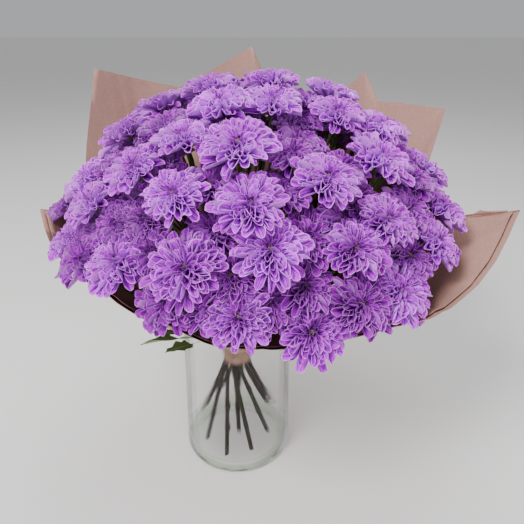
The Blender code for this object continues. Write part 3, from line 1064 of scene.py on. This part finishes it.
class FLOWERS_OT_leaves(bpy.types.Operator):
    """Model the leaves that show in the gaps and under the paper's edge"""

    bl_idname = "flowers.leaves"
    bl_label = "Leaves"

    def execute(self, context):
        draw = random.Random(8)
        templates = [leaf_template(draw, lobes) for lobes in (3, 4, 4, 5)]
        frames = [head_frame(name) for name in HEAD_NODES]
        source, fillings = filling_places(frames)
        taken = [(place - source).normalized() for place, _, _ in frames + fillings]
        count = settings("jar_greenery").leaves
        bm = bmesh.new()
        bm.loops.layers.uv.new("leaf")
        bm.faces.layers.float.new("side")
        lowest = min(direction.z for direction in taken)
        for direction, _ in gap_directions(taken, count, 0.0):
            if direction.z < lowest + 0.2:
                continue
            reach = surface_reach(direction, source, frames) - draw.uniform(0.055, 0.072)
            size = draw.uniform(0.03, 0.042)
            stand = UP.rotation_difference(direction).to_matrix().to_4x4()
            turn = Matrix.Rotation(draw.uniform(0, math.tau), 4, "Z")
            tilt = Matrix.Rotation(-draw.uniform(0.3, 1.1), 4, "Y")
            place = Matrix.Translation(source + reach * direction)
            first = len(bm.verts)
            bm.from_mesh(draw.choice(templates))
            bm.verts.ensure_lookup_table()
            matrix = place @ stand @ turn @ tilt @ Matrix.Scale(size, 4)
            bmesh.ops.transform(bm, matrix=matrix, verts=bm.verts[first:])
        finish_piece("gap_leaves", bm, [leaf_finish()])
        self.neck_leaves(templates)
        for mesh in templates:
            bpy.data.meshes.remove(mesh)
        return {"FINISHED"}

    def neck_leaves(self, templates):
        """The leaves that hang out between the jar's rim and the paper."""
        _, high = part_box("glass_jar")
        bm = bmesh.new()
        bm.loops.layers.uv.new("leaf")
        bm.faces.layers.float.new("side")
        for i, (bearing, rise, length, width, roll) in enumerate(NECK_LEAVES):
            turn = Matrix.Rotation(math.radians(bearing), 4, "Z")
            tilt = Matrix.Rotation(-math.radians(rise), 4, "Y")
            foot = Matrix.Translation(Vector((high.x + 0.001, 0.0, high.z - 0.006)))
            size = Matrix.Diagonal((length, width, 0.5 * length, 1.0))
            first = len(bm.verts)
            bm.from_mesh(templates[i])
            bm.verts.ensure_lookup_table()
            matrix = turn @ foot @ tilt @ Matrix.Rotation(roll, 4, "X") @ size
            bmesh.ops.transform(bm, matrix=matrix, verts=bm.verts[first:])
        finish_piece("neck_leaves", bm, [leaf_finish()])


# ---------------------------------------------------------------- paper


def inner_skin(name):
    """The inner face of a framed sheet, as an open mesh of its own."""
    bm = merged_copy(name)
    bm.normal_update()
    faces = set(bm.faces)
    skins = []
    while faces:
        group, front = set(), [faces.pop()]
        while front:
            face = front.pop()
            group.add(face)
            for edge in face.edges:
                if len(edge.link_faces) != 2 or edge.calc_face_angle() > math.radians(65):
                    continue
                for other in edge.link_faces:
                    if other in faces:
                        faces.discard(other)
                        front.append(other)
        skins.append(group)
    skins.sort(key=lambda group: -sum(face.calc_area() for face in group))
    def inward(group):
        return sum(
            -face.normal.xy.dot(face.calc_center_median().xy) * face.calc_area() for face in group
        )
    inner = max(skins[:2], key=inward)
    bmesh.ops.delete(bm, geom=[face for face in bm.faces if face not in inner], context="FACES")
    return bm


class FLOWERS_OT_paper(bpy.types.Operator):
    """Model the kraft paper sheets with their creases and waves, and the front sheet's second layer"""

    bl_idname = "flowers.paper"
    bl_label = "Kraft Paper"

    def execute(self, context):
        finish = paper_finish()
        for number, name in enumerate(SHEET_NODES):
            bm = inner_skin(name)
            bmesh.ops.join_triangles(
                bm,
                faces=bm.faces,
                angle_face_threshold=math.radians(60),
                angle_shape_threshold=math.radians(80),
            )
            bmesh.ops.subdivide_edges(
                bm, edges=bm.edges, cuts=3, smooth=0.0, use_grid_fill=True
            )
            self.wave(bm, number)
            if name == "kraft_sheet_front":
                self.second_layer(bm)
            self.lay_map(bm)
            bmesh.ops.solidify(bm, geom=bm.faces[:], thickness=settings("jar_paper").sheet_thickness)
            finish_piece(name.replace("kraft_sheet", "paper_sheet"), bm, [finish], (name,))
        return {"FINISHED"}

    def wave(self, bm, number):
        """Adds soft waves and creases that run from the neck to the edge."""
        bm.normal_update()
        moves = {}
        for vert in bm.verts:
            flat = vert.co.xy.length
            bearing = math.atan2(vert.co.y, vert.co.x)
            free = ease(0.07, 0.13, flat)
            soft = noise.noise(vert.co * 14 + Vector((number * 7.0, 0, 0)))
            ridge = noise.noise(Vector((bearing * 5 + number, flat * 3, number)))
            crease = (1 - abs(ridge) * 2) ** 3 if abs(ridge) < 0.5 else 0.0
            moves[vert] = vert.normal * free * (0.0022 * soft + 0.0012 * crease)
        for vert, move in moves.items():
            vert.co += move
        self.raise_lip(bm)

    def raise_lip(self, bm):
        """Lifts the front edge and eases it outwards to hold the lowest blooms, all but one."""
        front, wide, narrow = math.radians(-96), math.cos(math.radians(66)), math.cos(math.radians(26))
        low = math.radians(-77)
        for vert in bm.verts:
            flat = vert.co.xy.length
            bearing = math.atan2(vert.co.y, vert.co.x)
            share = ease(0.11, 0.19, flat) * ease(wide, narrow, math.cos(bearing - front))
            dip = math.exp(-(((bearing - low) / math.radians(8)) ** 2))
            out = vert.co.xy.normalized() * 0.006 * share * (1 - dip)
            vert.co += Vector((out.x, out.y, 0.016 * share * (1 - 0.4 * dip)))

    def second_layer(self, bm):
        """Doubles the sheet with a layer outside it that reaches a little further."""
        whole = bm.verts[:] + bm.edges[:] + bm.faces[:]
        made = bmesh.ops.duplicate(bm, geom=whole)["geom"]
        bm.normal_update()
        neck = Vector((0.0, 0.0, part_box("neck_tie")[1].z))
        layer = [item for item in made if isinstance(item, bmesh.types.BMVert)]
        outward = {vert: -vert.normal for vert in layer}
        for vert in layer:
            free = ease(0.06, 0.15, vert.co.xy.length)
            vert.co += outward[vert] * (0.0008 + 0.0014 * free) + (vert.co - neck) * 0.02 * free

    def lay_map(self, bm):
        """Maps the sheet flat: bearing at a mean radius, and the way out from the neck."""
        uv = bm.loops.layers.uv.new("sheet")
        for face in bm.faces:
            middle = face.calc_center_median()
            turn = math.atan2(middle.y, middle.x)
            for loop in face.loops:
                co = loop.vert.co
                angle = math.atan2(co.y, co.x)
                angle += math.tau * round((turn - angle) / math.tau)
                loop[uv].uv = (angle * 0.15, math.hypot(co.xy.length, co.z - 0.13))


# ---------------------------------------------------------------- tie


class FLOWERS_OT_tie(bpy.types.Operator):
    """Model the turns of tape and the knot round the neck"""

    bl_idname = "flowers.tie"
    bl_label = "Neck Tie"

    def execute(self, context):
        low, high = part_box("neck_tie")
        radius = high.x - 0.0008
        middle = (low.z + high.z) / 2
        bm = bmesh.new()
        turns = 4
        steps = 48
        path = []
        for i in range(turns * steps + 1):
            angle = math.tau * i / steps - math.pi / 2
            wobble = 0.00015 * math.sin(3.3 * angle)
            height = middle + (i / (turns * steps) - 0.5) * 0.0058
            path.append(
                Vector(((radius + wobble) * math.cos(angle), (radius + wobble) * math.sin(angle), height))
            )
        swept_rod(bm, path, [0.00095] * len(path), 8)
        front = Vector((0.0, -radius - 0.0014, middle))
        for side in (-1, 1):
            tail = [
                front,
                front + Vector((side * 0.004, -0.0015, -0.001)),
                front + Vector((side * 0.008, -0.0018, -0.006)),
                front + Vector((side * 0.010, -0.0012, -0.012)),
            ]
            swept_rod(bm, smooth_path(tail, 3), [0.0009] * 13, 8)
        knot = bmesh.ops.create_icosphere(bm, subdivisions=3, radius=1.0)
        for vert in knot["verts"]:
            vert.co *= 1 + 0.12 * math.sin(5 * vert.co.x + 3 * vert.co.z)
        bmesh.ops.scale(bm, vec=(0.0034, 0.0022, 0.0028), verts=knot["verts"])
        bmesh.ops.translate(bm, vec=front, verts=knot["verts"])
        bmesh.ops.recalc_face_normals(bm, faces=bm.faces)
        finish_piece("neck_tape", bm, [tie_finish()], ("neck_tie",))
        return {"FINISHED"}


# ---------------------------------------------------------------- jar


class FLOWERS_OT_jar(bpy.types.Operator):
    """Model the glass cylinder with its thick foot and rolled lip"""

    bl_idname = "flowers.jar"
    bl_label = "Glass Jar"

    def execute(self, context):
        _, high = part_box("glass_jar")
        radius, height = high.x, high.z
        wall, base, heel, fillet = 0.004, 0.012, 0.006, 0.004
        lip = wall / 2
        inner = radius - wall
        outline = [(0.0, 0.0014), (0.5 * radius, 0.0010), (0.78 * radius, 0.0)]
        outline += arc((radius - heel, heel), heel, -90, 0, 8)
        outline += arc((radius - lip, height - lip), lip, 0, 180, 8)
        outline += arc((inner - fillet, base + fillet), fillet, 0, -90, 6)
        outline += [(0.5 * radius, base - 0.0006), (0.0, base - 0.001)]
        bm = bmesh.new()
        points = [bm.verts.new((out, 0.0, up)) for out, up in outline]
        edges = [bm.edges.new(pair) for pair in zip(points, points[1:])]
        bmesh.ops.spin(
            bm,
            geom=points + edges,
            axis=UP,
            cent=(0, 0, 0),
            angle=math.tau,
            steps=settings("jar_glass").sides,
            use_merge=True,
        )
        bmesh.ops.remove_doubles(bm, verts=bm.verts, dist=1e-6)
        bmesh.ops.recalc_face_normals(bm, faces=bm.faces)
        for face in bm.faces:
            top = max(vert.co.z for vert in face.verts)
            if top < base and min(vert.co.xy.length for vert in face.verts) > 0.77 * radius:
                face.material_index = 1
        finishes = [glass_finish(), foot_finish()]
        finish_piece("jar_glass", bm, finishes, ("glass_jar",), sharp=80)
        return {"FINISHED"}


# ---------------------------------------------------------------- stage


def soft_light(name, place, aim, size, power):
    """An area light that looks at a point."""
    lamp = bpy.data.lights.new(name, "AREA")
    lamp.energy = power
    lamp.shape = "RECTANGLE"
    lamp.size, lamp.size_y = size
    holder = bpy.data.objects.new(name, lamp)
    bpy.context.scene.collection.objects.link(holder)
    holder.location = place
    holder.rotation_euler = (aim - place).to_track_quat("-Z", "Y").to_euler()


# The floor lies just under the jar. Lights are (name, place, size, power) and face the lit middle.
FLOOR_DROP = 0.0003
SURROUNDINGS_STRENGTH = 0.56
CAMERA_SHIFT = -0.148
LIT_MIDDLE = (0.03, -0.02, 0.3)
LIGHTS = (
    ("key_light", (-0.9, -1.3, 1.9), (0.8, 0.8), 58),
    ("front_light", (0.7, -1.8, 1.1), (1.0, 0.7), 13),
    ("top_light", (0.2, 0.5, 2.2), (1.2, 1.2), 20),
)


class FLOWERS_OT_stage(bpy.types.Operator):
    """Set the floor, the soft lights, the surroundings and the camera"""

    bl_idname = "flowers.stage"
    bl_label = "Stage"

    def execute(self, context):
        look = settings("jar_stage")
        bm = bmesh.new()
        bmesh.ops.create_grid(bm, x_segments=1, y_segments=1, size=look.floor_size / 2)
        bmesh.ops.translate(bm, vec=(0.0, 0.0, -FLOOR_DROP), verts=bm.verts)
        mesh = bpy.data.meshes.new("floor")
        bm.to_mesh(mesh)
        bm.free()
        finish, tree, shader = new_finish("pale_floor")
        grain = speckle(tree, object_place(tree), 3.0)
        colour = mix(tree, grain, shade(238, 237, 235), shade(243, 242, 240))
        tree.links.new(colour, shader.inputs["Base Color"])
        shader.inputs["Roughness"].default_value = 0.6
        mesh.materials.append(finish)
        floor = bpy.data.objects.new("floor", mesh)
        context.scene.collection.objects.link(floor)
        floor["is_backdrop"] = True
        world = bpy.data.worlds.new("soft_surroundings")
        world.use_nodes = True
        background = world.node_tree.nodes["Background"]
        background.inputs[0].default_value = (*shade(230, 231, 234), 1)
        background.inputs[1].default_value = SURROUNDINGS_STRENGTH
        context.scene.world = world
        for name, place, size, power in LIGHTS:
            soft_light(name, Vector(place), Vector(LIT_MIDDLE), size, power)
        camera_data = bpy.data.cameras.new("camera")
        camera_data.lens = look.lens
        camera_data.sensor_width = 36.0
        camera_data.shift_y = CAMERA_SHIFT
        camera = bpy.data.objects.new("camera", camera_data)
        camera.location = (0.031, -0.553, 0.510)
        camera.rotation_euler = (math.pi / 2 - look.pitch, 0.0, 0.0)
        context.scene.collection.objects.link(camera)
        context.scene.camera = camera
        return {"FINISHED"}


# ---------------------------------------------------------------- panel and registration

OPERATORS = (
    FLOWERS_OT_stage,
    FLOWERS_OT_jar,
    FLOWERS_OT_stems,
    FLOWERS_OT_paper,
    FLOWERS_OT_tie,
    FLOWERS_OT_blooms,
    FLOWERS_OT_leaves,
)
SETTINGS = {
    "jar_blooms": BloomSettings,
    "jar_greenery": GreenerySettings,
    "jar_paper": PaperSettings,
    "jar_glass": JarSettings,
    "jar_stage": StageSettings,
}


class FLOWERS_PT_pieces(bpy.types.Panel):
    """Lists the steps that build the bunch, and its settings"""

    bl_label = "Chrysanthemums"
    bl_space_type = "VIEW_3D"
    bl_region_type = "UI"
    bl_category = "Flowers"

    def draw(self, context):
        for operator in OPERATORS:
            self.layout.operator(operator.bl_idname)
        for name, group in SETTINGS.items():
            box = self.layout.box()
            for field in group.__annotations__:
                box.prop(getattr(context.scene, name), field)


def register():
    for group in SETTINGS.values():
        bpy.utils.register_class(group)
    for cls in (*OPERATORS, FLOWERS_PT_pieces):
        bpy.utils.register_class(cls)
    for name, group in SETTINGS.items():
        setattr(bpy.types.Scene, name, bpy.props.PointerProperty(type=group))


def unregister():
    for name in SETTINGS:
        delattr(bpy.types.Scene, name)
    for cls in (FLOWERS_PT_pieces, *OPERATORS, *SETTINGS.values()):
        bpy.utils.unregister_class(cls)


def main():
    register()
    for operator in OPERATORS:
        group, name = operator.bl_idname.split(".")
        getattr(getattr(bpy.ops, group), name)()
    boxes = {"cad": CAD_BOX, "visual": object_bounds()}
    plain = {key: [list(corner) for corner in box] for key, box in boxes.items()}


if __name__ == "__main__":
    main()
